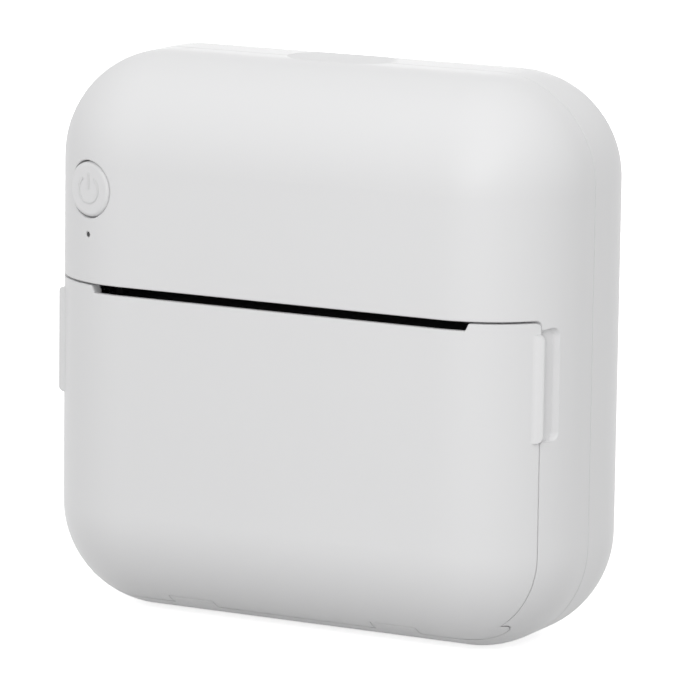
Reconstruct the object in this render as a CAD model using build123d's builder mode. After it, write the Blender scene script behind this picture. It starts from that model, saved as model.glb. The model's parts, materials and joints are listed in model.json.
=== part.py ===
from build123d import *
import os
from math import asin, cos, degrees, radians, sin, sqrt

# Portable thermal printer for 57 mm paper, standing on its bottom.
# Millimetres. X is the width, the front faces -Y, Z is up from the surface that it stands on.

# Casing
side_room = 6.9
upper_height = 31.85
corner_radius = 15.0
wall = 2.0
seam_depth = 6.75
seam_gap = 0.03
parting_depth = 17.5
tongue_depth = 1.6
tongue_clearance = 0.08
inner_clearance = 0.35

# Paper slot and finger lips
slot_height = 1.3
slot_clearance = 1.0
slot_ramp = 0.45
slot_rim_thickness = 0.8
slot_rim_height = 1.5
door_top_gap = 0.3
door_corner_radius = 0.8
lip_height = 15.0
lip_top_drop = 1.6
lip_length = 1.1
lip_crest = 0.45
lip_proud = 0.75
lip_end_radius = 1.0
grip_height = 16.5
grip_top_drop = 0.45
grip_length = 3.0
grip_reach = 3.9
grip_slope = 14.0
grip_sink = 0.85
grip_corner = 1.6
rib_margin = 0.6
rib_thickness = 0.3
rib_inset = 0.75
rib_depth = 2.0
rib_gap = 0.25
rib_root = 0.5

# Paper roll and its cradle
paper_width = 57.0
roll_y = 0.0
roll_diameter = 30.0
roll_clearance = 0.4
cradle_lift = 1.6
cradle_wall = 1.0
cradle_front_y = -8.0
cradle_mouth_y = -4.0

# Door hinge
hinge_setback = 0.4
knuckle_radius = 1.3
knuckle_clearance = 0.12
knuckle_gap = 0.08
hinge_pin_radius = 0.6
hinge_running = 0.05
hinge_overrun = 8.0
knuckle_cut = 0.3
hinge_pin_length = 46.0
shell_knuckle_x = 16.0
shell_knuckle_length = 7.0

# Platen roller
platen_inset = 9.25
platen_lift = 1.3
slot_rise = 5.15
platen_radius = 4.5
platen_short = 0.6
platen_shaft_radius = 1.5
shaft_running = 0.05
bush_radius = 3.0
notch_clearance = 0.15
plate_thickness = 1.0
plate_gap = 0.3
arm_thickness = 1.0
arm_radius = 4.2
clip_thickness = 0.5
clip_radius = 2.4
clip_gap = 0.3
shaft_overrun = 0.4

# Gear train
gear_module = 0.5
platen_teeth = 14
idler_teeth = 20
pinion_teeth = 10
gear_width = 2.0
gear_gap = 0.3
pinion_angle = 30.0
idler_axle_radius = 1.0
motor_radius = 7.5
motor_length = 11.0
motor_shaft_radius = 0.75
motor_flange_thickness = 0.8
motor_ear_spacing = 19.0

# Print head
head_gap = 0.15
ceramic_thickness = 0.8
ceramic_height = 9.0
ceramic_short = 2.0
heat_sink_thickness = 1.2
head_pivot_radius = 0.75
head_pivot_rise = 7.8
head_barrel_radius = 1.4
head_wall_thickness = 1.0
spring_radius = 1.5
spring_wire = 0.15
spring_turns = 2
spring_end_gap = 0.35

# Tear bar
tear_bar_thickness = 0.4
tear_bar_reach = 3.4
tear_bar_inset = 2.35
tear_tooth_pitch = 1.0
tear_tooth_depth = 0.7

# Electronics
board_thickness = 1.0
board_width = 60.0
board_low_gap = 0.3
board_top_gap = 3.5
usb_width = 8.94
usb_depth = 3.2
usb_length = 7.35
usb_wall = 0.3
usb_top_drop = 0.55
usb_clearance = 0.25
dish_y = 0.0
dish_radius = 12.0
dish_straight = 6.8
dish_depth = 1.0
battery_height = 26.5
battery_thickness = 7.2
battery_side_gap = 1.7
battery_motor_gap = 2.5
battery_top_gap = 10.5
battery_pad_thickness = 0.95

# Power button and status light
button_outset = 5.3
button_turn = 15.0
button_rise = 13.18
button_radius = 3.9
button_gap = 0.2
button_sink = 0.02
button_edge = 0.6
button_flange_radius = 4.7
button_flange = 0.6
button_travel = 0.35
button_stem_radius = 1.5
symbol_radius = 1.85
symbol_line = 0.3
symbol_rise = 0.08
symbol_bar = 2.35
symbol_gap_angle = 70.0
switch_size = 4.6
switch_height = 1.6
plunger_radius = 1.1
plunger_height = 0.9
plunger_room = 0.1
plunger_bite = 0.2
light_drop = 6.36
light_radius = 0.4
light_sink = 0.15
light_running = 0.05
light_pipe_radius = 1.0

# Screws
screw_side_gap = 0.8
shell_screw_low_z = 24.0
shell_screw_high_z = 58.0
shell_screw_radius = 1.0
shell_head_radius = 1.9
shell_head_height = 1.3
plug_gap = 0.3
shell_head_depth = 11.75
boss_radius = 2.8
boss_setback = 3.6
boss_end = 1.0
insert_radius = 1.6
insert_length = 4.0
frame_screw_low_z = 14.0
frame_screw_drop = 2.4
frame_screw_setback = 1.75
frame_lug_thickness = 1.6
small_screw_radius = 0.8
small_head_radius = 1.4
small_head_height = 0.9

# Smaller features
hinge_web = 3.0
liner_gap = 0.15
liner_thickness = 0.9
liner_side_gap = 3.0
liner_low_z = 9.0
liner_top_gap = 0.45
liner_screw_x = 19.0
liner_screw_low_z = 13.0
liner_screw_high_z = 30.0
liner_screw_bite = 1.1
cross_bar_height = 3.4
cross_bar_gap = 0.7
cross_bar_depth = 3.4
platen_edge = 0.4
bush_inset = 0.05
parting_chamfer = 0.12
rear_boss_radius = 3.2
screw_clearance = 0.15
small_screw_length = 5.0
label_width = 36.0
label_height = 22.0
label_corner = 2.0
label_depth = 0.3
label_z = 30.0
plate_margin = 3.2
plate_front_reach = 1.7
plate_rise = 12.0
head_wall_gap = 1.9
motor_room = 2.7
strut_height = 1.8
strut_drop = 0.4
spring_pin = 0.8
spring_pin_radius = 0.9
lug_radius = 2.6
motor_bore = 7.0
motor_ear_angle = 46.0
motor_ear_radius = 1.5
motor_boss_radius = 2.6
motor_neck = 1.5
motor_edge = 0.5
shaft_end_room = 0.2
motor_slot = 0.4
heat_sink_short = 2.6
ceramic_extra = 2.0
driver_width = 46.0
driver_rise = 0.5
driver_drop = 0.2
driver_height = 1.4
sensor_width = 5.0
sensor_depth = 2.0
sensor_height = 1.8
tear_bar_short = 1.0
tear_bar_lift = 0.05
tear_bar_ledge = 1.8
tear_bar_ledge_margin = 1.0
board_post_left_x = -19.3
board_post_right_x = 26.0
board_post_low_gap = 4.0
board_post_high_x = 14.0
board_post_high_gap = 4.0
board_post_radius = 2.4
button_board_depth = 7.5
button_board_thickness = 0.8
button_board_width = 8.4
button_board_height = 16.6
button_board_middle = -0.3
button_post_x = 3.2
button_post_high = 6.6
button_post_low = -7.2
button_post_radius = 1.1
button_pin_radius = 0.6
collar_depth = 3.6
switch_corner = 0.3
button_depth = 4.5
light_collar_depth = 4.5
light_collar_wall = 0.45
led_height = 0.7
led_width = 1.6
led_depth = 0.9
light_pipe_gap = 0.2
light_window = 0.1
usb_cavity = 6.4
usb_tongue_width = 6.7
usb_tongue_thickness = 0.7
usb_tongue_recess = 1.0
usb_tongue_corner = 0.4
shield_x = -13.3
shield_up = 13.0
shield_width = 13.0
shield_height = 11.0
shield_rise = 2.0
shield_edge = 0.4
chip_rise = 0.9
chip_edge = 0.12
capacitor_radius = 2.5
capacitor_height = 5.4
capacitor_edge = 0.4
pad_side_gap = 4.1
pad_low_gap = 4.0
pad_high_gap = 6.0
battery_corner = 1.2
head_cable_width = 30.0
head_cable_thickness = 0.2
head_cable_gap = 0.3
head_cable_bend = 0.8
head_socket_up = 2.5
head_socket_rise = 1.6
head_socket_height = 2.6
head_socket_margin = 1.5
button_socket_x = -23.0
button_socket_up = 2.3
battery_socket_x = -18.0
battery_socket_down = 4.3
motor_socket_x = 21.0
motor_socket_up = 6.0
socket_rise = 2.2
socket_width = 4.4
socket_height = 3.0
lead_radius = 0.6
lead_run = 2.5
battery_lead_bend = 1.5
motor_lead_bend = 1.2
button_lead_bend = 1.0

# Derived places
roll_radius = roll_diameter / 2
bay_radius = roll_radius + roll_clearance
cradle_radius = bay_radius + cradle_wall
roll_z = wall + cradle_lift + cradle_radius
platen_z = roll_z + bay_radius + platen_lift + platen_radius
slot_low_z = platen_z + slot_rise
slot_top_z = slot_low_z + slot_height
slot_width = paper_width + slot_clearance
platen_length = paper_width - platen_short
plate_in_x = platen_length / 2 + plate_gap
plate_out_x = plate_in_x + plate_thickness
arm_in_x = plate_out_x + plate_gap
arm_out_x = arm_in_x + arm_thickness
gear_in_x = arm_out_x + gear_gap
gear_out_x = gear_in_x + gear_width
body_width = 2 * (gear_out_x + side_room)
body_depth = 2 * (cradle_radius + inner_clearance + wall)
body_height = slot_top_z + upper_height
front_y = -body_depth / 2
back_y = body_depth / 2
half_width = body_width / 2
corner_x = half_width - corner_radius
corner_y = front_y + corner_radius
seam_y = front_y + seam_depth
ring_y = seam_y + seam_gap
parting_y = front_y + parting_depth
ceramic_width = paper_width - ceramic_short
heat_sink_width = paper_width - heat_sink_short
tear_bar_width = paper_width - tear_bar_short
liner_width = slot_width - 2 * liner_side_gap
platen_y = front_y + platen_inset
door_top_z = slot_top_z - door_top_gap
inner_front_y = front_y + wall
inner_back_y = back_y - wall
lip_high_z = door_top_z - lip_top_drop
grip_high_z = door_top_z - grip_top_drop
hinge_y = seam_y + hinge_setback
hinge_cover = knuckle_radius - knuckle_cut
hinge_reach = corner_radius - hinge_cover
hinge_z = corner_radius - sqrt(hinge_reach**2 - (corner_y - hinge_y) ** 2)
hinge_length = body_width - 2 * corner_radius + 2 * hinge_overrun
shell_screw_x = half_width - wall - boss_radius - screw_side_gap
shell_head_y = back_y - shell_head_depth
boss_front_y = ring_y + boss_setback
frame_screw_seat_y = parting_y - frame_screw_setback
plate_front_y = platen_y - plate_front_reach
plate_back_y = roll_y + bay_radius
plate_top_z = platen_z + plate_rise
frame_screw_high_z = plate_top_z - frame_screw_drop
strut_high_z = plate_top_z - strut_drop
strut_low_z = strut_high_z - strut_height
button_x = -corner_x - button_outset
button_z = slot_top_z + button_rise
light_z = button_z - light_drop
liner_high_z = slot_low_z - slot_rim_height - liner_top_gap
cross_bar_high_z = platen_z - platen_radius - cross_bar_gap
cross_bar_low_z = cross_bar_high_z - cross_bar_height
tear_bar_z = slot_top_z + tear_bar_lift
board_low_z = plate_top_z + board_low_gap
board_high_z = body_height - board_top_gap
board_post_low_z = board_low_z + board_post_low_gap
board_post_high_z = board_high_z - board_post_high_gap
platen_pitch = gear_module * platen_teeth / 2
idler_pitch = gear_module * idler_teeth / 2
pinion_pitch = gear_module * pinion_teeth / 2
idler_y = platen_y + platen_pitch + idler_pitch
idler_z = platen_z
motor_y = idler_y + (idler_pitch + pinion_pitch) * cos(radians(pinion_angle))
motor_z = idler_z + (idler_pitch + pinion_pitch) * sin(radians(pinion_angle))
ceramic_y = platen_y + platen_radius + head_gap
heat_sink_y = ceramic_y + ceramic_thickness
heat_sink_back_y = heat_sink_y + heat_sink_thickness
head_pivot_y = (heat_sink_y + heat_sink_back_y) / 2
head_pivot_z = platen_z + head_pivot_rise
head_wall_y = heat_sink_back_y + head_wall_gap
head_cable_y = head_pivot_y - head_barrel_radius - head_cable_gap
usb_y = parting_y
board_y = usb_y + usb_depth / 2
board_back_y = board_y + board_thickness
dish_floor_z = body_height - dish_depth
usb_top_z = dish_floor_z - usb_top_drop
battery_back_y = inner_back_y - battery_pad_thickness
motor_front_x = plate_in_x - motor_flange_thickness
motor_back_x = motor_front_x - motor_length
battery_left_x = battery_side_gap - plate_in_x
battery_width = motor_back_x - battery_motor_gap - battery_left_x
battery_x = battery_left_x + battery_width / 2
battery_low_z = body_height - battery_top_gap - battery_height
head_socket_z = board_low_z + head_socket_up
button_socket = (button_socket_x, button_z + button_socket_up)
battery_socket = (battery_socket_x, board_high_z - battery_socket_down)
motor_socket = (motor_socket_x, board_low_z + motor_socket_up)
surface_y = corner_y - sqrt(corner_radius**2 - button_outset**2)
liner_front_y = inner_front_y + liner_gap
liner_back_y = liner_front_y + liner_thickness
cross_bar_back_y = liner_front_y + cross_bar_depth
tear_bar_front_y = front_y + tear_bar_inset + tear_tooth_depth
tear_bar_back_y = tear_bar_front_y + tear_bar_reach
tear_bar_top_z = tear_bar_z + tear_bar_thickness
ledge_half = tear_bar_width / 2 + tear_bar_ledge_margin
clip_left_x = arm_out_x + clip_gap
clip_right_x = gear_out_x + clip_gap
shaft_left_x = clip_left_x + clip_thickness + shaft_overrun
head_wall_right_x = motor_back_x - motor_room
idler_phase = 180 + 180 / idler_teeth
idler_offset = (pinion_angle - idler_phase) * idler_teeth / 360
pinion_phase = 180 + pinion_angle + (idler_offset + 0.5) * 360 / pinion_teeth
spring_xs = (-22.0, -9.0, 4.0)
plunger_depth = button_board_depth - switch_height - plunger_height + plunger_bite
button_post_spots = [
    (u, v) for u in (-button_post_x, button_post_x) for v in (button_post_low, button_post_high)
]


def rounded_body(inset):
    """The casing's outline, every face moved in by the inset and every edge rounded to suit."""
    with BuildPart(Plane.XY.offset(body_height / 2)) as outline:
        Box(body_width - 2 * inset, body_depth - 2 * inset, body_height - 2 * inset)
        fillet(outline.edges(), corner_radius - inset)
    return outline.part


def block(x_span, y_span, z_span, mode=Mode.ADD):
    """A box between two x, two y and two z values."""
    spans = (x_span, y_span, z_span)
    centre = tuple(sum(span) / 2 for span in spans)
    size = [max(span) - min(span) for span in spans]
    with Locations(centre):
        Box(*size, mode=mode)


def rod_x(y, z, radius, x_span, mode=Mode.ADD):
    """A round rod along X."""
    with BuildSketch(Plane.YZ.offset(min(x_span))) as disc:
        with Locations((y, z)):
            Circle(radius)
    extrude(disc.sketch, amount=max(x_span) - min(x_span), mode=mode)


def rod_y(x, z, radius, y_span, mode=Mode.ADD):
    """A round rod along Y."""
    with BuildSketch(Plane.XZ.offset(-max(y_span))) as disc:
        with Locations((x, z)):
            Circle(radius)
    extrude(disc.sketch, amount=max(y_span) - min(y_span), mode=mode)


def finish(part, name):
    """Labels one piece and writes it."""
    part.label = name
    export_step(part, f"parts/{name}.step")


def gear_teeth(teeth, phase):
    """The outline of a small spur gear, one tooth at the phase angle."""
    pitch = gear_module * teeth / 2
    root = pitch - 1.25 * gear_module
    tip = pitch + 0.9 * gear_module
    half_pitch = 0.68 * gear_module
    Circle(root)
    with PolarLocations(0, teeth, start_angle=phase):
        Polygon(
            (root - 0.2, -0.8 * gear_module),
            (root, -0.78 * gear_module),
            (pitch, -half_pitch),
            (tip, -0.4 * gear_module),
            (tip, 0.4 * gear_module),
            (pitch, half_pitch),
            (root, 0.78 * gear_module),
            (root - 0.2, 0.8 * gear_module),
            align=None,
        )


def button_plane(depth, z):
    """A plane square to the button's axis, at a depth under the rounded front corner's surface."""
    across, along = cos(radians(button_turn)), sin(radians(button_turn))
    origin = (button_x + along * depth, surface_y + across * depth, z)
    return Plane(origin=origin, x_dir=(across, -along, 0), z_dir=(-along, -across, 0))


def corner_point(radius, y):
    """A point at a radius about the upright right front corner's axis and at a y, with its tangent."""
    along_y = (corner_y - y) / radius
    along_x = sqrt(1 - along_y**2)
    return (corner_x + radius * along_x, y), (along_y, along_x)


def tube(points, radii, radius):
    """A round lead along straight runs joined by arcs."""
    with BuildPart() as lead:
        with BuildLine() as route:
            FilletPolyline(*points, radius=radii)
        start = route.line @ 0
        with BuildSketch(Plane(origin=start, z_dir=route.line % 0)):
            Circle(radius)
        sweep()
    return lead.part


def screw_y(x, z, seat_y, radius, length, head_radius, head_height):
    """A cross-head screw along Y, its head behind the seat."""
    rod_y(x, z, radius, (seat_y - length, seat_y))
    rod_y(x, z, head_radius, (seat_y, seat_y + head_height))
    slot = head_radius * 0.25
    reach = head_radius * 0.6
    low = seat_y + head_height * 0.5
    block((x - reach, x + reach), (low, seat_y + head_height), (z - slot / 2, z + slot / 2), Mode.SUBTRACT)
    block((x - slot / 2, x + slot / 2), (low, seat_y + head_height), (z - reach, z + reach), Mode.SUBTRACT)


def side_boss(x, z, y_span, radius):
    """A screw boss that runs into the side wall, cut to the casing's wall."""
    side = 1 if x > 0 else -1
    with BuildPart() as boss:
        rod_y(x, z, radius, y_span)
        block((x, side * half_width), y_span, (z - radius, z + radius))
        add(boss_room, mode=Mode.INTERSECT)
    return boss.part


def band(inset_out, inset_in, y_span):
    """The ring of the casing between two insets, cut to a y span."""
    with BuildPart() as ring:
        add(rounded_body(inset_out))
        add(rounded_body(inset_in), mode=Mode.SUBTRACT)
        block((-far, far), y_span, (-far, far), mode=Mode.INTERSECT)
    return ring.part


def door_outline(rear, high, corner):
    """The region in front of a rear plane and below a top plane, its upper rear edge rounded."""
    with BuildPart() as region:
        with BuildSketch(Plane.YZ.offset(-far)) as side:
            with BuildLine():
                Polyline((-far, -far), (rear, -far), (rear, high - corner))
                RadiusArc((rear, high - corner), (rear - corner, high), -corner)
                Polyline((rear - corner, high), (-far, high), (-far, -far))
            make_face()
        extrude(amount=2 * far)
    return region.part


def knuckles(spans, side, bore):
    """Hinge knuckles with a web towards one side, flush with the casing's outline."""
    with BuildPart() as row:
        for span in spans:
            rod_x(hinge_y, hinge_z, knuckle_radius, span)
            block(span, (hinge_y, hinge_y + side * hinge_web), (-wall, hinge_z + knuckle_radius))
        add(outer, mode=Mode.INTERSECT)
        rod_x(hinge_y, hinge_z, bore, hinge_pin_run, mode=Mode.SUBTRACT)
    return row.part


def hinge_room(side):
    """The space that the other piece's knuckles turn in, open square to the outer surface."""
    out_y = (hinge_y - corner_y) / hinge_reach
    out_z = (hinge_z - corner_radius) / hinge_reach
    reach = side * (hinge_cover + knuckle_clearance)
    with BuildPart() as space:
        rod_x(hinge_y, hinge_z, knuckle_radius + knuckle_clearance, hinge_run)
        with BuildSketch(Plane.YZ.offset(hinge_run[0])) as opening:
            with Locations((hinge_y, hinge_z)):
                Polygon(
                    (0, 0),
                    (-out_z * reach, out_y * reach),
                    (-out_z * reach + out_y * wall, out_y * reach + out_z * wall),
                    (out_y * wall, out_z * wall),
                    align=None,
                )
        extrude(opening.sketch, amount=hinge_run[1] - hinge_run[0])
    return space.part


os.makedirs("parts", exist_ok=True)

far = body_width + body_height
outer = rounded_body(0)
cavity = rounded_body(wall)
room = rounded_body(wall + inner_clearance)
boss_room = rounded_body(wall / 2)
door_room = rounded_body(wall + liner_gap)
hinge_run = (-hinge_length / 2 - knuckle_gap, hinge_length / 2 + knuckle_gap)
hinge_pin_run = (-hinge_pin_length / 2, hinge_pin_length / 2)
knuckle_in_x = shell_knuckle_x - shell_knuckle_length / 2
knuckle_out_x = shell_knuckle_x + shell_knuckle_length / 2
shell_knuckle_spans = [(-knuckle_out_x, -knuckle_in_x), (knuckle_in_x, knuckle_out_x)]
door_knuckle_spans = [
    (-hinge_length / 2, -knuckle_out_x - knuckle_gap),
    (-knuckle_in_x + knuckle_gap, knuckle_in_x - knuckle_gap),
    (knuckle_out_x + knuckle_gap, hinge_length / 2),
]

screw_spots = [
    (side * shell_screw_x, z)
    for side in (-1, 1)
    for z in (shell_screw_low_z, shell_screw_high_z)
]
lug_spots = [
    (side * shell_screw_x, z)
    for side in (-1, 1)
    for z in (frame_screw_low_z, frame_screw_high_z)
]
board_spots = [
    (board_post_left_x, board_post_low_z),
    (board_post_right_x, board_post_low_z),
    (board_post_high_x, board_post_high_z),
]
liner_spots = [
    (side * liner_screw_x, z)
    for side in (-1, 1)
    for z in (liner_screw_low_z, liner_screw_high_z)
]

# The port's dish and opening in the top, shared by both shells
with BuildPart() as port_cut:
    dish_z = dish_floor_z + dish_radius
    dish_half = dish_straight / 2
    rod_x(dish_y, dish_z, dish_radius, (-dish_half, dish_half))
    with Locations((-dish_half, dish_y, dish_z), (dish_half, dish_y, dish_z)):
        Sphere(dish_radius)
    with BuildSketch(Plane.XY.offset(dish_floor_z - wall)):
        with Locations((0, usb_y)):
            SlotOverall(usb_width + 2 * usb_clearance, usb_depth + 2 * usb_clearance)
    extrude(amount=2 * wall)

# The finger recess behind each lip, its ends and rear sloping out to the surface
with BuildPart() as grip_cut:
    for side in (-1, 1):
        with BuildSketch(Plane.YZ.offset(side * half_width)) as mouth:
            with Locations((ring_y + grip_length / 2 - grip_corner, grip_high_z - grip_height / 2)):
                RectangleRounded(grip_length + 2 * grip_corner, grip_height, grip_corner)
        extrude(mouth.sketch, amount=-side * grip_reach, taper=grip_slope)
    add(rounded_body(grip_sink), mode=Mode.SUBTRACT)

# Posts inside the upper front
with BuildPart() as front_posts:
    for x, z in board_spots:
        rod_y(x, z, board_post_radius, (front_y, board_y))
    block((-ledge_half, ledge_half), (front_y, tear_bar_back_y),
          (tear_bar_top_z, tear_bar_top_z + tear_bar_ledge))
    for u, v in button_post_spots:
        with BuildSketch(button_plane(button_board_depth, button_z)):
            with Locations((u, v)):
                Circle(button_post_radius)
        extrude(amount=button_board_depth)
        with BuildSketch(button_plane(button_board_depth + button_board_thickness, button_z)):
            with Locations((u, v)):
                Circle(button_pin_radius)
        extrude(amount=button_board_thickness)
    with BuildSketch(button_plane(light_collar_depth, light_z)):
        Circle(light_pipe_radius + light_collar_wall)
    extrude(amount=light_collar_depth)
    add(boss_room, mode=Mode.INTERSECT)
    for x, z in board_spots:
        rod_y(x, z, small_screw_radius, (board_y - small_screw_length, board_y), mode=Mode.SUBTRACT)

# Front shell: the upper front and the ring of the sides that the door closes against
with BuildPart() as front_shell:
    add(outer)
    block((-far, far), (parting_y, far), (-far, far), mode=Mode.SUBTRACT)
    chamfer(front_shell.edges().group_by(Axis.Y)[-1], parting_chamfer)
    add(cavity, mode=Mode.SUBTRACT)
    for x, z in screw_spots:
        add(side_boss(x, z, (boss_front_y, parting_y), boss_radius))
    for x, z in lug_spots:
        add(side_boss(x, z, (boss_front_y, frame_screw_seat_y), boss_radius))
    add(front_posts.part)
    for side in (-1, 1):
        rib_x = side * (slot_width / 2 - rib_margin)
        block((rib_x - rib_thickness / 2, rib_x + rib_thickness / 2),
              (front_y + rib_inset, front_y + rib_inset + rib_depth),
              (slot_low_z + rib_gap, slot_top_z + rib_root))
    add(door_outline(ring_y, slot_top_z, door_corner_radius + seam_gap), mode=Mode.SUBTRACT)
    add(grip_cut.part, mode=Mode.SUBTRACT)
    add(band(wall / 2, wall + tongue_clearance, (parting_y - tongue_depth, parting_y)), mode=Mode.SUBTRACT)
    add(port_cut.part, mode=Mode.SUBTRACT)
    add(hinge_room(1), mode=Mode.SUBTRACT)
    add(knuckles(shell_knuckle_spans, 1, hinge_pin_radius))
    rod_x(hinge_y, hinge_z, hinge_pin_radius, hinge_pin_run, mode=Mode.SUBTRACT)
    for x, z in screw_spots:
        rod_y(x, z, insert_radius, (parting_y - insert_length, parting_y), mode=Mode.SUBTRACT)
        rod_y(x, z, shell_screw_radius, (boss_front_y + boss_end, parting_y), mode=Mode.SUBTRACT)
    for x, z in lug_spots:
        rod_y(x, z, small_screw_radius, (boss_front_y + boss_end, frame_screw_seat_y), mode=Mode.SUBTRACT)
    with BuildSketch(button_plane(button_depth, button_z)):
        Circle(button_radius + button_gap)
    extrude(amount=button_depth + wall, mode=Mode.SUBTRACT)
    with BuildSketch(button_plane(light_collar_depth, light_z)):
        Circle(light_radius)
    extrude(amount=light_collar_depth + wall, mode=Mode.SUBTRACT)
    with BuildSketch(button_plane(light_collar_depth, light_z)):
        Circle(light_pipe_radius)
    extrude(amount=light_collar_depth - wall, mode=Mode.SUBTRACT)
finish(front_shell.part, "front_shell")

# Rear shell
with BuildPart() as rear_shell:
    add(outer)
    block((-far, far), (-far, parting_y), (-far, far), mode=Mode.SUBTRACT)
    chamfer(rear_shell.edges().group_by(Axis.Y)[0], parting_chamfer)
    add(cavity, mode=Mode.SUBTRACT)
    for x, z in screw_spots:
        add(side_boss(x, z, (parting_y, back_y), rear_boss_radius))
    add(band(wall / 2 + tongue_clearance, wall,
             (parting_y - tongue_depth + tongue_clearance, parting_y + wall)))
    add(port_cut.part, mode=Mode.SUBTRACT)
    for x, z in screw_spots:
        rod_y(x, z, shell_screw_radius + screw_clearance, (parting_y, back_y), mode=Mode.SUBTRACT)
        rod_y(x, z, shell_head_radius + 2 * screw_clearance, (shell_head_y, back_y), mode=Mode.SUBTRACT)
    with BuildSketch(Plane.XZ.offset(-back_y)):
        with Locations((0, label_z)):
            RectangleRounded(label_width, label_height, label_corner)
    extrude(amount=label_depth, mode=Mode.SUBTRACT)
finish(rear_shell.part, "rear_shell")

# The lip at each side of the door: it flares out of the rounded corner, then rolls over at the seam
with BuildPart() as lips:
    foot, foot_along = corner_point(corner_radius, seam_y - lip_length)
    root, root_along = corner_point(corner_radius - wall / 2, seam_y - lip_length)
    crest, crest_along = corner_point(corner_radius + lip_proud, seam_y - lip_crest)
    roll_over = lip_crest / (1 + crest_along[0])
    roll_x = crest[0] - roll_over * crest_along[1]
    crest_angle = degrees(asin(crest_along[1]))
    with BuildSketch(Plane.XY.offset(lip_high_z - lip_height)):
        with BuildLine():
            Spline(foot, crest, tangents=[foot_along, crest_along])
            CenterArc((roll_x, seam_y - roll_over), roll_over, crest_angle - 90, 180 - crest_angle)
            Polyline((roll_x, seam_y), (root[0], seam_y), root, foot)
        make_face()
    extrude(amount=lip_height)
    mirror(about=Plane.YZ)
    with BuildSketch(Plane.XZ.offset(-seam_y)):
        with Locations((0, lip_high_z - lip_height / 2)):
            RectangleRounded(2 * (roll_x + roll_over), lip_height, lip_end_radius)
    extrude(amount=corner_radius, mode=Mode.INTERSECT)

# Behind the slot's lower edge the door is thinned to a rim
with BuildPart() as rim_cut:
    block((-slot_width / 2, slot_width / 2), (front_y, seam_y), (slot_low_z - slot_rim_height, slot_low_z))
    add(rounded_body(slot_rim_thickness), mode=Mode.INTERSECT)

# Paper door: the lower front, notched for the slot
with BuildPart() as paper_door:
    add(outer)
    add(cavity, mode=Mode.SUBTRACT)
    add(door_outline(seam_y, door_top_z, door_corner_radius), mode=Mode.INTERSECT)
    with BuildSketch(Plane.XZ.offset(-seam_y)):
        Polygon(
            (-slot_width / 2, slot_low_z),
            (slot_width / 2, slot_low_z),
            (slot_width / 2 + slot_ramp, door_top_z + 0.01),
            (-slot_width / 2 - slot_ramp, door_top_z + 0.01),
            align=None,
        )
    extrude(amount=body_depth, mode=Mode.SUBTRACT)
    add(rim_cut.part, mode=Mode.SUBTRACT)
    add(lips.part)
    add(hinge_room(-1), mode=Mode.SUBTRACT)
    add(knuckles(door_knuckle_spans, -1, hinge_pin_radius + hinge_running))
    rod_x(hinge_y, hinge_z, hinge_pin_radius + hinge_running, hinge_pin_run, mode=Mode.SUBTRACT)
    for x, z in liner_spots:
        rod_y(x, z, small_screw_radius, (liner_front_y - liner_screw_bite, liner_back_y),
              mode=Mode.SUBTRACT)
finish(paper_door.part, "paper_door")

# Door liner with the two arms that carry the platen's bushes
with BuildPart() as door_liner:
    block((-liner_width / 2, liner_width / 2), (liner_front_y, liner_back_y), (liner_low_z, liner_high_z))
    block((-arm_out_x, arm_out_x), (liner_front_y, cross_bar_back_y), (cross_bar_low_z, cross_bar_high_z))
    for side in (-1, 1):
        with BuildSketch(Plane.YZ.offset(side * arm_in_x)) as arm:
            with Locations((platen_y, platen_z)):
                Circle(arm_radius)
            bar_middle_y = (liner_front_y + cross_bar_back_y) / 2
            with Locations((bar_middle_y, cross_bar_high_z - cross_bar_height / 2)):
                Rectangle(cross_bar_back_y - liner_front_y, cross_bar_height)
            make_hull()
        extrude(amount=side * arm_thickness)
    add(door_room, mode=Mode.INTERSECT)
    rod_x(platen_y, platen_z, bush_radius, (-far, far), mode=Mode.SUBTRACT)
    for x, z in liner_spots:
        rod_y(x, z, small_screw_radius + screw_clearance, (liner_front_y, liner_back_y), mode=Mode.SUBTRACT)
finish(door_liner.part, "door_liner")

with BuildPart() as door_screws:
    for x, z in liner_spots:
        screw_y(x, z, liner_back_y, small_screw_radius,
                liner_thickness + liner_screw_bite, small_head_radius, small_head_height)
finish(door_screws.part, "door_screws")

with BuildPart() as hinge_pin:
    rod_x(hinge_y, hinge_z, hinge_pin_radius, hinge_pin_run)
finish(hinge_pin.part, "hinge_pin")

# Platen roller
with BuildPart() as platen_shaft:
    rod_x(platen_y, platen_z, platen_shaft_radius, (-shaft_left_x, gear_out_x))
finish(platen_shaft.part, "platen_shaft")

with BuildPart() as platen_rubber:
    rod_x(platen_y, platen_z, platen_radius, (-platen_length / 2, platen_length / 2))
    fillet(platen_rubber.edges().filter_by(GeomType.CIRCLE), platen_edge)
    rod_x(platen_y, platen_z, platen_shaft_radius, (-far, far), mode=Mode.SUBTRACT)
finish(platen_rubber.part, "platen_rubber")

with BuildPart() as platen_bushes:
    for side in (-1, 1):
        span = (side * (plate_in_x + bush_inset), side * (arm_out_x + bush_inset))
        rod_x(platen_y, platen_z, bush_radius, span)
    rod_x(platen_y, platen_z, platen_shaft_radius + shaft_running, (-far, far), mode=Mode.SUBTRACT)
finish(platen_bushes.part, "platen_bushes")


def clip(y, z, groove, x_span, name):
    """An E-clip on a shaft along X."""
    with BuildPart() as ring:
        rod_x(y, z, clip_radius, x_span)
        rod_x(y, z, groove, x_span, mode=Mode.SUBTRACT)
        block(x_span, (y - groove * 0.8, y + groove * 0.8), (z, z + clip_radius), mode=Mode.SUBTRACT)
    finish(ring.part, name)


clip(platen_y, platen_z, platen_shaft_radius, (-clip_left_x - clip_thickness, -clip_left_x), "shaft_clip")


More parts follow.
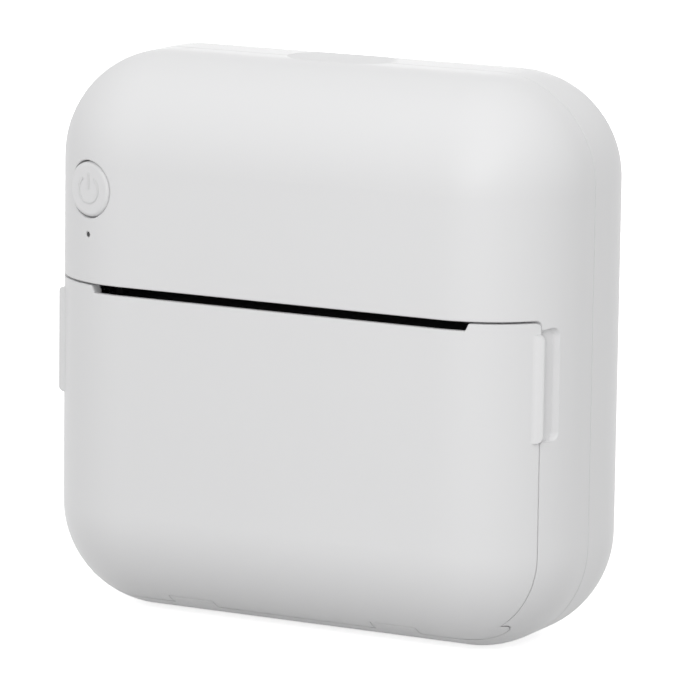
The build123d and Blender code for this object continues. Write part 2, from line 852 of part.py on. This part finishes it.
def gear(name, teeth, phase, y, z, bore, hub):
    """A spur gear along X in the plane of the gear train, with a hub towards the side plate."""
    with BuildPart() as wheel:
        with BuildSketch(Plane.YZ.offset(gear_in_x)) as profile:
            with Locations((y, z)):
                gear_teeth(teeth, phase)
        extrude(amount=gear_width)
        if hub:
            rod_x(y, z, bore + hub, (plate_out_x + gear_gap / 2, gear_in_x))
        rod_x(y, z, bore, (-far, far), mode=Mode.SUBTRACT)
    finish(wheel.part, name)


gear("platen_gear", platen_teeth, 0, platen_y, platen_z, platen_shaft_radius, 0)
gear("idler_gear", idler_teeth, idler_phase, idler_y, idler_z, idler_axle_radius + shaft_running, 0.45)
gear("motor_pinion", pinion_teeth, pinion_phase, motor_y, motor_z, motor_shaft_radius, 0)

with BuildPart() as idler_axle:
    rod_x(idler_y, idler_z, idler_axle_radius, (plate_in_x, clip_right_x + clip_thickness + shaft_overrun))
finish(idler_axle.part, "idler_axle")
clip(idler_y, idler_z, idler_axle_radius, (clip_right_x, clip_right_x + clip_thickness), "idler_clip")

# Stepper motor
with BuildPart() as motor_case:
    rod_x(motor_y, motor_z, motor_radius, (motor_back_x, motor_front_x))
    fillet(motor_case.edges().filter_by(GeomType.CIRCLE), motor_edge)
    rod_x(motor_y, motor_z, motor_shaft_radius + shaft_running, (motor_front_x - motor_bore, motor_front_x),
          mode=Mode.SUBTRACT)
finish(motor_case.part, "motor_case")

ear_y = motor_ear_spacing / 2 * cos(radians(motor_ear_angle))
ear_z = motor_ear_spacing / 2 * sin(radians(motor_ear_angle))
ear_spots = [(motor_y + ear_y, motor_z + ear_z), (motor_y - ear_y, motor_z - ear_z)]
with BuildPart() as motor_flange:
    with BuildSketch(Plane.YZ.offset(motor_front_x)) as flange:
        with Locations(*ear_spots):
            Circle(motor_ear_radius)
        with Locations((motor_y, motor_z)):
            Circle(motor_radius - motor_neck)
        make_hull()
    extrude(amount=motor_flange_thickness)
    rod_x(motor_y, motor_z, motor_boss_radius, (motor_front_x, plate_out_x))
    rod_x(motor_y, motor_z, motor_shaft_radius + shaft_running, (-far, far), mode=Mode.SUBTRACT)
    for y, z in ear_spots:
        rod_x(y, z, small_screw_radius, (motor_front_x, plate_in_x), mode=Mode.SUBTRACT)
finish(motor_flange.part, "motor_flange")

with BuildPart() as motor_screws:
    for y, z in ear_spots:
        rod_x(y, z, small_screw_radius, (motor_front_x, plate_out_x))
        rod_x(y, z, small_head_radius, (plate_out_x, plate_out_x + small_head_height))
        block((plate_out_x + small_head_height / 2, plate_out_x + small_head_height),
              (y - motor_slot / 2, y + motor_slot / 2),
              (z - small_screw_radius, z + small_screw_radius), mode=Mode.SUBTRACT)
finish(motor_screws.part, "motor_screws")

with BuildPart() as motor_shaft:
    rod_x(motor_y, motor_z, motor_shaft_radius, (motor_front_x - motor_bore + shaft_end_room, gear_out_x))
finish(motor_shaft.part, "motor_shaft")

# Chassis: roll cradle, side plates, the wall behind the print head and the lugs
with BuildPart() as chassis:
    rod_x(roll_y, roll_z, cradle_radius, (-plate_in_x, plate_in_x))
    rod_x(roll_y, roll_z, bay_radius, (-plate_in_x, plate_in_x), mode=Mode.SUBTRACT)
    block((-plate_in_x, plate_in_x), (-far, cradle_front_y), (-wall, roll_z), mode=Mode.SUBTRACT)
    block((-plate_in_x, plate_in_x), (-far, cradle_mouth_y), (roll_z, platen_z), mode=Mode.SUBTRACT)
    for side in (-1, 1):
        with BuildSketch(Plane.YZ.offset(side * plate_in_x)) as plate:
            with Locations((roll_y, roll_z)):
                Circle(cradle_radius)
            with BuildLine():
                Polyline(
                    (plate_front_y, platen_z - bush_radius - plate_margin),
                    (plate_front_y, platen_z + bush_radius + plate_margin),
                    (head_pivot_y - head_barrel_radius, plate_top_z),
                    (plate_back_y, plate_top_z),
                    (plate_back_y, roll_z),
                    (roll_y, roll_z),
                    close=True,
                )
            make_face()
            with Locations((platen_y, platen_z)):
                Circle(bush_radius + notch_clearance, mode=Mode.SUBTRACT)
            with Locations((platen_y - arm_radius, platen_z)):
                Rectangle(2 * arm_radius, 2 * (bush_radius + notch_clearance), mode=Mode.SUBTRACT)
        extrude(amount=side * plate_thickness)
    block((-plate_in_x, head_wall_right_x), (head_wall_y, head_wall_y + head_wall_thickness),
          (roll_z + bay_radius, strut_low_z))
    block((-plate_in_x, plate_in_x), (head_wall_y, head_wall_y + head_wall_thickness),
          (strut_low_z, strut_high_z))
    for x in spring_xs:
        rod_y(x, platen_z, spring_pin_radius, (head_wall_y - spring_pin, head_wall_y))
    for x, z in lug_spots:
        side = 1 if x > 0 else -1
        rod_y(x, z, lug_radius, (frame_screw_seat_y, frame_screw_seat_y + frame_lug_thickness))
        block((side * plate_in_x, x), (frame_screw_seat_y, frame_screw_seat_y + frame_lug_thickness),
              (z - lug_radius, z + lug_radius))
    add(room, mode=Mode.INTERSECT)
    for x, z in lug_spots:
        rod_y(x, z, small_screw_radius + screw_clearance,
              (frame_screw_seat_y, frame_screw_seat_y + frame_lug_thickness), mode=Mode.SUBTRACT)
    rod_x(motor_y, motor_z, motor_boss_radius, (plate_in_x, plate_out_x), mode=Mode.SUBTRACT)
    rod_x(idler_y, idler_z, idler_axle_radius, (plate_in_x, plate_out_x), mode=Mode.SUBTRACT)
    rod_x(head_pivot_y, head_pivot_z, head_pivot_radius, (-plate_out_x, plate_out_x), mode=Mode.SUBTRACT)
    for y, z in ear_spots:
        rod_x(y, z, small_screw_radius, (plate_in_x, plate_out_x), mode=Mode.SUBTRACT)
finish(chassis.part, "chassis")

with BuildPart() as chassis_screws:
    for x, z in lug_spots:
        screw_y(x, z, frame_screw_seat_y + frame_lug_thickness, small_screw_radius,
                small_screw_length, small_head_radius, small_head_height)
finish(chassis_screws.part, "chassis_screws")

# Print head
with BuildPart() as print_head:
    block((-ceramic_width / 2, ceramic_width / 2), (ceramic_y, heat_sink_y),
          (platen_z - ceramic_height / 2, platen_z + ceramic_height / 2 + ceramic_extra))
finish(print_head.part, "print_head")

with BuildPart() as head_driver:
    driver_low_z = platen_z + ceramic_height / 2 - driver_drop
    block((-driver_width / 2, driver_width / 2), (ceramic_y - driver_rise, ceramic_y),
          (driver_low_z, driver_low_z + driver_height))
    fillet(head_driver.edges().filter_by(Axis.X).group_by(Axis.Y)[0], driver_rise * 0.6)
finish(head_driver.part, "head_driver")

with BuildPart() as heat_sink:
    block((-heat_sink_width / 2, heat_sink_width / 2), (heat_sink_y, heat_sink_back_y),
          (platen_z - ceramic_height / 2, head_pivot_z))
    rod_x(head_pivot_y, head_pivot_z, head_barrel_radius, (-heat_sink_width / 2, heat_sink_width / 2))
    rod_x(head_pivot_y, head_pivot_z, head_pivot_radius + shaft_running, (-far, far), mode=Mode.SUBTRACT)
finish(heat_sink.part, "heat_sink")

with BuildPart() as head_pivot:
    rod_x(head_pivot_y, head_pivot_z, head_pivot_radius, (-plate_out_x, plate_out_x))
finish(head_pivot.part, "head_pivot")

spring_length = head_wall_y - spring_end_gap - heat_sink_back_y
with BuildPart() as head_springs:
    for x in spring_xs:
        with BuildLine() as coil:
            Helix(
                pitch=(spring_length - 2 * spring_wire) / spring_turns,
                height=spring_length - 2 * spring_wire,
                radius=spring_radius - spring_wire,
                center=(x, heat_sink_back_y + spring_wire, platen_z),
                direction=(0, 1, 0),
            )
        with BuildSketch(Plane(origin=coil.line @ 0, z_dir=coil.line % 0)):
            Circle(spring_wire)
        sweep(path=coil.line)
finish(head_springs.part, "head_springs")

# Tear bar
with BuildPart() as tear_bar:
    with BuildSketch(Plane.XY.offset(tear_bar_z)):
        with Locations((0, (tear_bar_front_y + tear_bar_back_y) / 2)):
            Rectangle(tear_bar_width, tear_bar_back_y - tear_bar_front_y)
        teeth = int(tear_bar_width / tear_tooth_pitch)
        with GridLocations(tear_tooth_pitch, 0, teeth, 1):
            Polygon(
                (-tear_tooth_pitch / 2, tear_bar_front_y + 0.01),
                (0, tear_bar_front_y - tear_tooth_depth),
                (tear_tooth_pitch / 2, tear_bar_front_y + 0.01),
                align=None,
            )
    extrude(amount=tear_bar_thickness)
finish(tear_bar.part, "tear_bar")

with BuildPart() as paper_sensor:
    sensor_z = roll_z + bay_radius
    block((-sensor_width / 2, sensor_width / 2), (cradle_mouth_y - sensor_depth, cradle_mouth_y),
          (sensor_z - sensor_height / 2, sensor_z + sensor_height / 2))
    fillet(paper_sensor.edges().filter_by(Axis.Y), 0.4)
finish(paper_sensor.part, "paper_sensor")

# Main board and what is on it
with BuildPart() as main_board:
    block((-board_width / 2, board_width / 2), (board_y, board_back_y), (board_low_z, board_high_z))
    add(room, mode=Mode.INTERSECT)
    for x, z in board_spots:
        rod_y(x, z, small_screw_radius + screw_clearance, (board_y, board_back_y), mode=Mode.SUBTRACT)
finish(main_board.part, "main_board")

with BuildPart() as board_screws:
    for x, z in board_spots:
        screw_y(x, z, board_back_y, small_screw_radius,
                small_screw_length, small_head_radius, small_head_height)
finish(board_screws.part, "board_screws")


def front_component(x, z, width, height, rise):
    """A component on the board's front face."""
    block((x - width / 2, x + width / 2), (board_y - rise, board_y), (z - height / 2, z + height / 2))


with BuildPart() as shield_can:
    front_component(shield_x, board_low_z + shield_up, shield_width, shield_height, shield_rise)
    fillet(shield_can.edges().group_by(Axis.Y)[0], shield_edge)
finish(shield_can.part, "shield_can")

chips = [(6.5, 8.5, 7.0, 7.0), (16.5, 9.5, 5.0, 5.0), (22.5, 13.0, 3.0, 3.0), (8.5, 16.0, 4.0, 3.0)]
with BuildPart() as board_chips:
    for x, up, width, height in chips:
        front_component(x, board_low_z + up, width, height, chip_rise)
    chamfer(board_chips.edges().group_by(Axis.Y)[0], chip_edge)
finish(board_chips.part, "board_chips")

with BuildPart() as board_capacitors:
    for x, up in ((-3.0, 8.5), (24.5, 18.1)):
        rod_y(x, board_low_z + up, capacitor_radius, (board_y - capacitor_height, board_y))
    fillet(board_capacitors.edges().group_by(Axis.Y)[0], capacitor_edge)
finish(board_capacitors.part, "board_capacitors")

with BuildPart() as board_connectors:
    head_socket_width = head_cable_width + 2 * head_socket_margin
    front_component(0, head_socket_z, head_socket_width, head_socket_height, head_socket_rise)
    front_component(*button_socket, socket_width, socket_height, socket_rise)
    for x, z in (battery_socket, motor_socket):
        block((x - socket_width / 2, x + socket_width / 2), (board_back_y, board_back_y + socket_rise),
              (z - socket_height / 2, z + socket_height / 2))
finish(board_connectors.part, "board_connectors")

# Charging socket in the middle of the top
with BuildPart() as usb_socket:
    with BuildSketch(Plane.XY.offset(usb_top_z - usb_length)):
        with Locations((0, usb_y)):
            SlotOverall(usb_width, usb_depth)
    extrude(amount=usb_length)
    with BuildSketch(Plane.XY.offset(usb_top_z - usb_cavity)):
        with Locations((0, usb_y)):
            SlotOverall(usb_width - 2 * usb_wall, usb_depth - 2 * usb_wall)
    extrude(amount=usb_cavity, mode=Mode.SUBTRACT)
finish(usb_socket.part, "usb_socket")

with BuildPart() as usb_tongue:
    block((-usb_tongue_width / 2, usb_tongue_width / 2),
          (usb_y - usb_tongue_thickness / 2, usb_y + usb_tongue_thickness / 2),
          (usb_top_z - usb_cavity, usb_top_z - usb_tongue_recess))
    fillet(usb_tongue.edges().filter_by(Axis.Y).group_by(Axis.Z)[-1], usb_tongue_corner)
finish(usb_tongue.part, "usb_tongue")

# Battery
with BuildPart() as battery:
    block((battery_x - battery_width / 2, battery_x + battery_width / 2),
          (battery_back_y - battery_thickness, battery_back_y),
          (battery_low_z, battery_low_z + battery_height))
    fillet(battery.edges().filter_by(Axis.Z), battery_corner)
finish(battery.part, "battery")

with BuildPart() as battery_pad:
    pad_half = battery_width / 2 - pad_side_gap
    block((battery_x - pad_half, battery_x + pad_half), (battery_back_y, inner_back_y),
          (battery_low_z + pad_low_gap, battery_low_z + battery_height - pad_high_gap))
finish(battery_pad.part, "battery_pad")

# Power button: flat cap with a raised symbol, a flange behind the wall and a stem to the switch
with BuildPart() as symbol:
    with BuildSketch(button_plane(button_edge, button_z)):
        Circle(symbol_radius + symbol_line / 2)
        Circle(symbol_radius - symbol_line / 2, mode=Mode.SUBTRACT)
        Polygon(
            (0, 0),
            (-far * sin(radians(symbol_gap_angle / 2)), far * cos(radians(symbol_gap_angle / 2))),
            (far * sin(radians(symbol_gap_angle / 2)), far * cos(radians(symbol_gap_angle / 2))),
            align=None,
            mode=Mode.SUBTRACT,
        )
        with Locations((0, symbol_bar / 2)):
            SlotOverall(symbol_bar, symbol_line, rotation=90)
    extrude(amount=button_edge - button_sink + symbol_rise)

with BuildPart() as button_body:
    with BuildSketch(button_plane(collar_depth + button_flange, button_z)):
        Circle(button_radius)
    extrude(amount=collar_depth + button_flange - button_sink)
    fillet(button_body.faces().sort_by(Axis.Y)[0].edges(), button_edge)

with BuildPart() as power_button:
    add(button_body.part)
    add(symbol.part)
    with BuildSketch(button_plane(collar_depth + button_flange, button_z)):
        Circle(button_flange_radius)
    extrude(amount=button_flange)
    with BuildSketch(button_plane(plunger_depth, button_z)):
        Circle(button_stem_radius)
    extrude(amount=plunger_depth - collar_depth)
finish(power_button.part, "power_button")

with BuildPart() as switch_plunger:
    with BuildSketch(button_plane(plunger_depth + plunger_height, button_z)):
        Circle(plunger_radius)
    extrude(amount=plunger_height)
finish(switch_plunger.part, "switch_plunger")

with BuildPart() as switch_case:
    with BuildSketch(button_plane(button_board_depth, button_z)):
        RectangleRounded(switch_size, switch_size, switch_corner)
    extrude(amount=switch_height)
    with BuildSketch(button_plane(plunger_depth + plunger_height + button_travel + plunger_room, button_z)):
        Circle(plunger_radius + shaft_running)
    extrude(amount=switch_height, mode=Mode.SUBTRACT)
finish(switch_case.part, "switch_case")

with BuildPart() as button_board:
    with BuildSketch(button_plane(button_board_depth + button_board_thickness, button_z)):
        with Locations((0, button_board_middle)):
            RectangleRounded(button_board_width, button_board_height, 0.8)
        with Locations(*button_post_spots):
            Circle(button_pin_radius, mode=Mode.SUBTRACT)
    extrude(amount=button_board_thickness)
finish(button_board.part, "button_board")

with BuildPart() as status_led:
    with BuildSketch(button_plane(button_board_depth, light_z)):
        Rectangle(led_width, led_depth)
    extrude(amount=led_height)
finish(status_led.part, "status_led")

with BuildPart() as light_pipe:
    pipe_depth = button_board_depth - led_height - light_pipe_gap
    with BuildSketch(button_plane(pipe_depth, light_z)):
        Circle(light_pipe_radius)
    extrude(amount=pipe_depth - wall - light_window)
    with BuildSketch(button_plane(wall + light_window, light_z)):
        Circle(light_radius - light_running)
    extrude(amount=wall + light_window - light_sink)
finish(light_pipe.part, "light_pipe")

# Shell screws and the nuts set in the front shell's bosses
with BuildPart() as insert_nuts:
    for x, z in screw_spots:
        rod_y(x, z, insert_radius, (parting_y - insert_length, parting_y))
        rod_y(x, z, shell_screw_radius, (parting_y - insert_length, parting_y), mode=Mode.SUBTRACT)
finish(insert_nuts.part, "insert_nuts")

with BuildPart() as shell_screws:
    for x, z in screw_spots:
        screw_y(x, z, shell_head_y, shell_screw_radius,
                shell_head_y - parting_y + insert_length, shell_head_radius, shell_head_height)
finish(shell_screws.part, "shell_screws")

# Plugs over the shell screws, cut flush with the rear shell
with BuildPart() as screw_plugs:
    for x, z in screw_spots:
        rod_y(x, z, shell_head_radius + screw_clearance,
              (shell_head_y + shell_head_height + plug_gap, back_y))
    add(outer, mode=Mode.INTERSECT)
finish(screw_plugs.part, "screw_plugs")

# Head cable and leads
with BuildPart() as head_cable:
    with BuildSketch(Plane.YZ.offset(-head_cable_width / 2)):
        with BuildLine() as run:
            FilletPolyline(
                (head_cable_y, platen_z + ceramic_height / 2 + ceramic_extra * 0.7),
                (head_cable_y, head_socket_z),
                (board_y - head_socket_rise, head_socket_z),
                radius=head_cable_bend,
            )
        trace(line_width=head_cable_thickness)
    extrude(amount=head_cable_width)
finish(head_cable.part, "head_cable")

battery_mid_y = battery_back_y - battery_thickness / 2
finish(
    tube(
        [
            (battery_socket[0], battery_mid_y, battery_low_z + battery_height),
            (battery_socket[0], battery_mid_y, battery_socket[1]),
            (battery_socket[0], board_back_y + socket_rise, battery_socket[1]),
        ],
        battery_lead_bend,
        lead_radius,
    ),
    "battery_leads",
)
finish(
    tube(
        [
            (motor_socket[0], motor_y, motor_z + motor_radius),
            (motor_socket[0], motor_y, motor_socket[1]),
            (motor_socket[0], board_back_y + socket_rise, motor_socket[1]),
        ],
        motor_lead_bend,
        lead_radius,
    ),
    "motor_leads",
)
lead_start = button_plane(button_board_depth + button_board_thickness, button_z).origin
lead_turn = button_plane(button_board_depth + button_board_thickness + lead_run, button_z).origin
finish(
    tube(
        [
            tuple(lead_start),
            tuple(lead_turn),
            (button_socket[0], board_y - socket_rise - lead_run, button_socket[1]),
            (button_socket[0], board_y - socket_rise, button_socket[1]),
        ],
        button_lead_bend,
        lead_radius,
    ),
    "button_leads",
)
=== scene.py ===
import json
import math

import bpy
from mathutils import Matrix, Vector

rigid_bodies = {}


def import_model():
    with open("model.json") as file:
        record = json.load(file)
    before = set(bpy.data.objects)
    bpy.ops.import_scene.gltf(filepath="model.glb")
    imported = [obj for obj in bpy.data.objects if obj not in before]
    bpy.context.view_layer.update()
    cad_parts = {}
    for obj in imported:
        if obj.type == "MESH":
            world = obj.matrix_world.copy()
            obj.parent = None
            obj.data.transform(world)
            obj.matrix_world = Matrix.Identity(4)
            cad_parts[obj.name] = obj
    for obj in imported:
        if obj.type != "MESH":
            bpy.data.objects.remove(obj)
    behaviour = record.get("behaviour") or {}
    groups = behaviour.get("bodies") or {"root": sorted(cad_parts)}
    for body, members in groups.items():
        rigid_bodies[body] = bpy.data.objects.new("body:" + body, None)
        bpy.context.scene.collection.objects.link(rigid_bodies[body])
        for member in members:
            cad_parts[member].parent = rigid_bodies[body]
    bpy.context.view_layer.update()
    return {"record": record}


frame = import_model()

# Values: metres, unless the name says otherwise

edge_samples = 6
shell_grain = 2600.0
shell_flow = 28.0
shell_relief = 0.000012

ambient = 0.723
white = 1.0
floor_size = 6.0
floor_drop = 0.00005
floor_pale = (0.86, 0.88)
floor_glow = 0.75
floor_bounce = 0.6
aim = Vector((0, 0, 0.04))

photo_px = 680
sensor_mm = 36.0
focal_px = 5494.296
px_per_mm = 7.1
approach = 0.996
azimuth = math.radians(27.97)
elevation = math.radians(9.958)
roll = math.radians(0.769)
shift_x = 0.25e-3
shift_y = -0.041e-3
clip_near = 0.05
clip_far = 20.0


# Materials

def new_material(name):
    """An empty node material with a Principled shader; returns it, its tree and the shader."""
    mat = bpy.data.materials.new(name)
    mat.use_nodes = True
    tree = mat.node_tree
    shader = tree.nodes["Principled BSDF"]
    return mat, tree, shader


def object_coords(tree):
    return tree.nodes.new("ShaderNodeTexCoord").outputs["Object"]


def noise(tree, scale, detail=3.0, stretch=None):
    """A noise texture on object coordinates, stretched along an axis where asked."""
    tex = tree.nodes.new("ShaderNodeTexNoise")
    tex.inputs["Scale"].default_value = scale
    tex.inputs["Detail"].default_value = detail
    source = object_coords(tree)
    if stretch:
        mapping = tree.nodes.new("ShaderNodeMapping")
        mapping.inputs["Scale"].default_value = stretch
        tree.links.new(source, mapping.inputs["Vector"])
        source = mapping.outputs["Vector"]
    tree.links.new(source, tex.inputs["Vector"])
    return tex.outputs["Fac"]


def ramp(tree, value, low, high, colours):
    """A colour ramp between two places of a value."""
    node = tree.nodes.new("ShaderNodeValToRGB")
    node.color_ramp.elements[0].position = low
    node.color_ramp.elements[1].position = high
    node.color_ramp.elements[0].color = (*colours[0], 1)
    node.color_ramp.elements[1].color = (*colours[1], 1)
    tree.links.new(value, node.inputs["Fac"])
    return node.outputs["Color"]


def spread(tree, value, low, high):
    """A value mapped from 0.3-0.7 of a noise to low-high."""
    node = tree.nodes.new("ShaderNodeMapRange")
    node.inputs["From Min"].default_value = 0.3
    node.inputs["From Max"].default_value = 0.7
    node.inputs["To Min"].default_value = low
    node.inputs["To Max"].default_value = high
    tree.links.new(value, node.inputs["Value"])
    return node.outputs["Result"]


def bump(tree, shader, value, distance, strength=1.0, edge=0.0):
    """Fine relief from a value, over edges softened in the shading."""
    node = tree.nodes.new("ShaderNodeBump")
    node.inputs["Distance"].default_value = distance
    node.inputs["Strength"].default_value = strength
    tree.links.new(value, node.inputs["Height"])
    if edge:
        soft = tree.nodes.new("ShaderNodeBevel")
        soft.samples = edge_samples
        soft.inputs["Radius"].default_value = edge
        tree.links.new(soft.outputs["Normal"], node.inputs["Normal"])
    tree.links.new(node.outputs["Normal"], shader.inputs["Normal"])


def surface(name, colour, roughness, metallic=0.0, vary=0.04, grain=900.0, depth=0.00002,
            stretch=None, edge=0.00008, rough_vary=0.06):
    """Plastic, metal or rubber with its own grain, colour variation and worn roughness."""
    mat, tree, shader = new_material(name)
    shader.inputs["Metallic"].default_value = metallic
    light = [min(1.0, c * (1 + vary)) for c in colour]
    dark = [c * (1 - vary) for c in colour]
    broad = noise(tree, grain * 0.12, 4.0, stretch)
    fine = noise(tree, grain, 2.0, stretch)
    tree.links.new(ramp(tree, broad, 0.35, 0.65, (dark, light)), shader.inputs["Base Color"])
    worn = spread(tree, broad, roughness - rough_vary, roughness + rough_vary)
    tree.links.new(worn, shader.inputs["Roughness"])
    bump(tree, shader, fine, depth, 0.6, edge)
    return mat


def shell_plastic(name, colour, roughness=0.42, edge=0.0003):
    """Matt white moulded plastic: a spark-eroded texture too fine to count, faint flow in the colour."""
    mat, tree, shader = new_material(name)
    flow = noise(tree, shell_flow, 3.0)
    fine = noise(tree, shell_grain, 2.0)
    dark = [c * 0.988 for c in colour]
    tree.links.new(ramp(tree, flow, 0.35, 0.65, (dark, colour)), shader.inputs["Base Color"])
    tree.links.new(spread(tree, flow, roughness - 0.02, roughness + 0.03), shader.inputs["Roughness"])
    shader.inputs["IOR"].default_value = 1.46
    bump(tree, shader, fine, shell_relief, 0.35, edge)
    return mat


slots = {
    "shell_white": shell_plastic("shell_white", (0.80, 0.80, 0.805)),
    "plug_white": surface("plug_white", (0.78, 0.78, 0.785), 0.55, grain=1500, vary=0.01),
    "frame_black": surface("frame_black", (0.012, 0.012, 0.013), 0.5, grain=1800),
    "liner_grey": surface("liner_grey", (0.03, 0.03, 0.033), 0.5, grain=1800),
    "gear_white": surface("gear_white", (0.72, 0.70, 0.64), 0.35, grain=1200, vary=0.02),
    "rubber_black": surface("rubber_black", (0.016, 0.016, 0.018), 0.75, grain=4000, stretch=(1, 0.2, 0.2)),
    "steel": surface("steel", (0.56, 0.56, 0.57), 0.28, 1.0, grain=1500, stretch=(0.08, 1, 1)),
    "screw_steel": surface("screw_steel", (0.20, 0.20, 0.21), 0.35, 1.0, grain=1800),
    "motor_steel": surface("motor_steel", (0.42, 0.42, 0.44), 0.34, 1.0, grain=900, stretch=(0.1, 1, 1)),
    "brass": surface("brass", (0.62, 0.42, 0.15), 0.3, 1.0, grain=1500, stretch=(0.1, 1, 1)),
    "bronze": surface("bronze", (0.40, 0.22, 0.10), 0.45, 1.0, grain=2500, vary=0.12),
    "aluminium": surface("aluminium", (0.60, 0.61, 0.63), 0.36, 1.0, grain=1400, stretch=(0.06, 1, 1)),
    "ceramic": surface("ceramic", (0.62, 0.60, 0.55), 0.22, grain=1200, vary=0.02),
    "epoxy_black": surface("epoxy_black", (0.01, 0.01, 0.011), 0.2, grain=400, vary=0.1),
    "board_green": surface("board_green", (0.012, 0.085, 0.035), 0.3, grain=700, vary=0.15),
    "chip_black": surface("chip_black", (0.014, 0.014, 0.015), 0.55, grain=3000),
    "connector_cream": surface("connector_cream", (0.64, 0.58, 0.44), 0.45, grain=1500),
    "can_steel": surface("can_steel", (0.58, 0.58, 0.60), 0.3, 1.0, grain=900),
    "cell_foil": surface("cell_foil", (0.50, 0.51, 0.53), 0.32, 0.9, grain=260, depth=0.00006),
    "foam": surface("foam", (0.02, 0.02, 0.02), 0.9, grain=2200, depth=0.00008),
    "flex_amber": surface("flex_amber", (0.26, 0.08, 0.012), 0.25, grain=600),
    "lead_red": surface("lead_red", (0.35, 0.012, 0.01), 0.4, grain=1500),
    "lead_grey": surface("lead_grey", (0.05, 0.05, 0.055), 0.4, grain=1500),
    "smoke": surface("smoke", (0.012, 0.012, 0.014), 0.15, grain=600),
    "led": surface("led", (0.60, 0.58, 0.35), 0.25, grain=900),
}

for row in frame["record"]["subparts"]:
    obj = bpy.data.objects[row["node"]]
    obj.data.materials.clear()
    obj.data.materials.append(slots[row["material_slot"]])


# Studio: pale floor, soft lights

def background_rays(tree):
    """1 for the rays that show the background: camera, glossy and transmission rays."""
    paths = tree.nodes.new("ShaderNodeLightPath")
    first = tree.nodes.new("ShaderNodeMath")
    first.operation = "MAXIMUM"
    tree.links.new(paths.outputs["Is Camera Ray"], first.inputs[0])
    tree.links.new(paths.outputs["Is Glossy Ray"], first.inputs[1])
    both = tree.nodes.new("ShaderNodeMath")
    both.operation = "MAXIMUM"
    tree.links.new(first.outputs["Value"], both.inputs[0])
    tree.links.new(paths.outputs["Is Transmission Ray"], both.inputs[1])
    return both.outputs["Value"]


def floor_material():
    """A pale matt floor that reads as white to the camera and keeps the object's shadow."""
    mat, tree, shader = new_material("floor")
    grain = noise(tree, 60.0, 3.0)
    pale = ramp(tree, grain, 0.3, 0.7, [(level, level, level) for level in floor_pale])
    seen = background_rays(tree)
    dim = tree.nodes.new("ShaderNodeMapRange")
    dim.inputs["To Min"].default_value = floor_bounce
    dim.inputs["To Max"].default_value = 1.0
    tree.links.new(seen, dim.inputs["Value"])
    tone = tree.nodes.new("ShaderNodeVectorMath")
    tone.operation = "SCALE"
    tree.links.new(pale, tone.inputs[0])
    tree.links.new(dim.outputs["Result"], tone.inputs["Scale"])
    tree.links.new(tone.outputs["Vector"], shader.inputs["Base Color"])
    shader.inputs["Roughness"].default_value = 0.9
    shader.inputs["Specular IOR Level"].default_value = 0.0
    glow = tree.nodes.new("ShaderNodeEmission")
    lift = tree.nodes.new("ShaderNodeMath")
    lift.operation = "MULTIPLY"
    lift.inputs[1].default_value = floor_glow
    tree.links.new(seen, lift.inputs[0])
    tree.links.new(lift.outputs["Value"], glow.inputs["Strength"])
    both = tree.nodes.new("ShaderNodeAddShader")
    tree.links.new(shader.outputs["BSDF"], both.inputs[0])
    tree.links.new(glow.outputs["Emission"], both.inputs[1])
    tree.links.new(both.outputs["Shader"], tree.nodes["Material Output"].inputs["Surface"])
    return mat


bpy.ops.mesh.primitive_plane_add(size=floor_size, location=(0, 0, -floor_drop))
floor = bpy.context.object
floor.name = "floor"
floor.data.materials.append(floor_material())

world = bpy.data.worlds.new("studio")
bpy.context.scene.world = world
world.use_nodes = True
sky = world.node_tree.nodes["Background"]
strength = world.node_tree.nodes.new("ShaderNodeMapRange")
strength.inputs["To Min"].default_value = ambient
strength.inputs["To Max"].default_value = white
world.node_tree.links.new(background_rays(world.node_tree), strength.inputs["Value"])
world.node_tree.links.new(strength.outputs["Result"], sky.inputs["Strength"])
sky.inputs["Color"].default_value = (1, 1, 1, 1)


def softbox(name, place, size, power):
    """A square area light of a size in metres and a power in watts, aimed at the object's middle."""
    data = bpy.data.lights.new(name, "AREA")
    data.shape = "SQUARE"
    data.size = size
    data.energy = power
    lamp = bpy.data.objects.new(name, data)
    lamp.location = place
    lamp.rotation_euler = (aim - lamp.location).to_track_quat("-Z", "Y").to_euler()
    bpy.context.scene.collection.objects.link(lamp)


softbox("key", Vector((0.2, -0.32, 0.38)), 0.3, 0.313)
softbox("top", Vector((0.0, -0.1, 1.0)), 0.6, 0.435)
softbox("front", Vector((0.15, -0.5, 0.2)), 0.3, 0.62)
softbox("back", Vector((-0.25, 0.5, 0.1)), 0.2, 0.22)


# Camera, fitted to the photograph: 28 degrees round to the right and 10 degrees up, with a long lens

distance = focal_px / px_per_mm * approach * 0.001
centre = Vector((0, 0, 0.0795 / 2))

ground = math.cos(elevation)
back = Vector((math.sin(azimuth) * ground, -math.cos(azimuth) * ground, math.sin(elevation)))
right0 = Vector((math.cos(azimuth), math.sin(azimuth), 0))
up0 = back.cross(right0)
right = right0 * math.cos(roll) + up0 * math.sin(roll)
up = up0 * math.cos(roll) - right0 * math.sin(roll)
spot = centre + back * distance + right * shift_x + up * shift_y

camera_data = bpy.data.cameras.new("camera")
camera_data.sensor_width = sensor_mm
camera_data.lens = focal_px / photo_px * sensor_mm
camera_data.clip_start = clip_near
camera_data.clip_end = clip_far
camera = bpy.data.objects.new("camera", camera_data)
camera.matrix_world = Matrix((
    (right.x, up.x, back.x, spot.x),
    (right.y, up.y, back.y, spot.y),
    (right.z, up.z, back.z, spot.z),
    (0, 0, 0, 1),
))
bpy.context.scene.collection.objects.link(camera)
bpy.context.scene.camera = camera

bpy.context.scene.view_settings.view_transform = "Standard"
